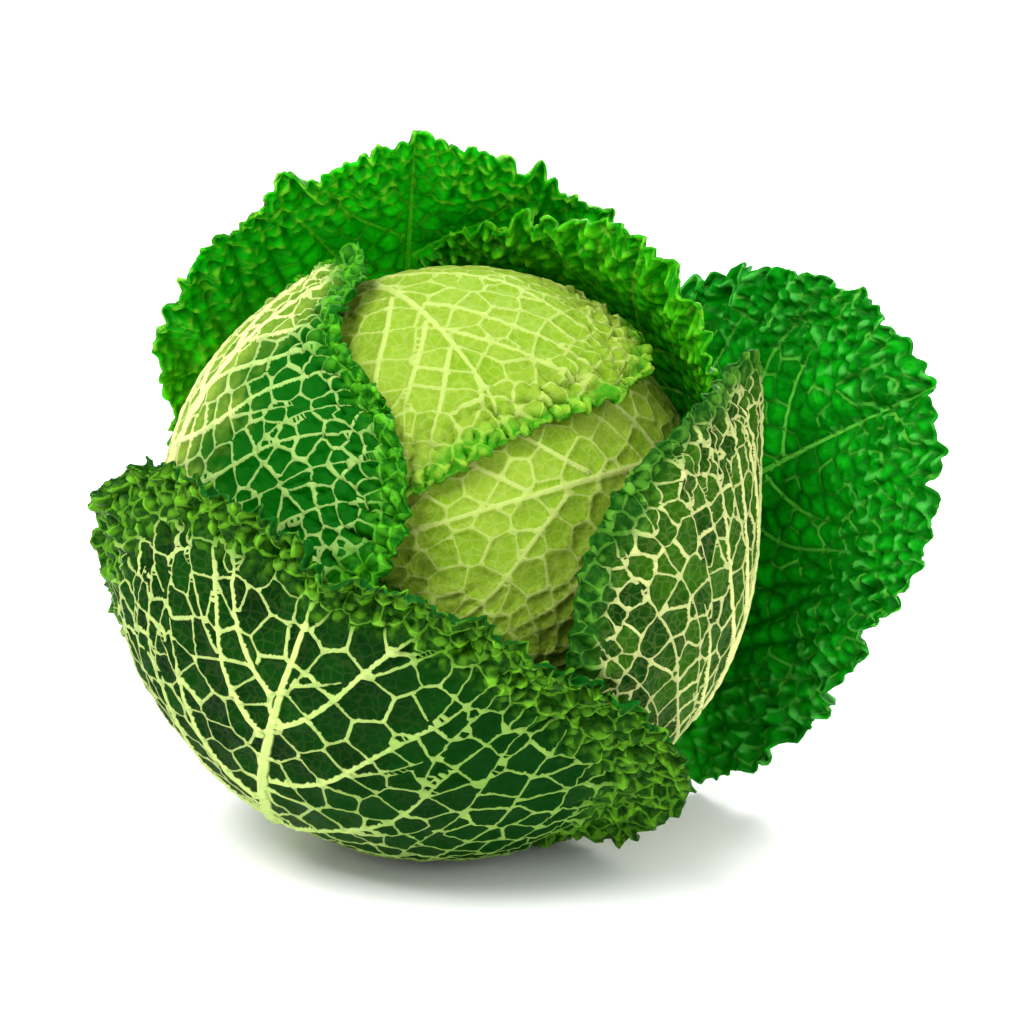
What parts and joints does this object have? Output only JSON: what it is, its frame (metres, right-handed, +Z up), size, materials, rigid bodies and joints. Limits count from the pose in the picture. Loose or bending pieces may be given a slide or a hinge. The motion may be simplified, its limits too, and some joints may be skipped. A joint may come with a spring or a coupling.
{
  "type": "savoy cabbage",
  "caption": "Savoy cabbage lying on its outer leaves: a pale head wrapped by closed leaves, with blistered, net-veined, frilly outer leaves round it and a short cut stem.",
  "frame": {"origin": "centre of the cabbage's bounding box, at the height of the surface it lies on", "axes": "+Z up, -Y the side that the head faces, +X towards the leaf that is spread out furthest"},
  "size_m": [0.2578, 0.2316, 0.2139],
  "materials": {
    "stem": "pale, moist cut stem",
    "head": "yellow-green waxy leaf with cream veins",
    "pale_leaf": "mid-green leaf underside with a raised cream net of veins",
    "dark_leaf": "deep green blistered leaf, satin"
  },
  "bodies": {
    "root": {"stem": "stem", "heart": "head", "head_leaf_left": "head", "head_leaf_right": "head", "head_leaf_top": "head", "outer_leaf_left": "pale_leaf", "outer_leaf_right": "pale_leaf", "outer_leaf_upper": "dark_leaf", "outer_leaf_front": "dark_leaf", "outer_leaf_back": "dark_leaf", "outer_leaf_far_right": "dark_leaf"}
  },
  "joints": []
}
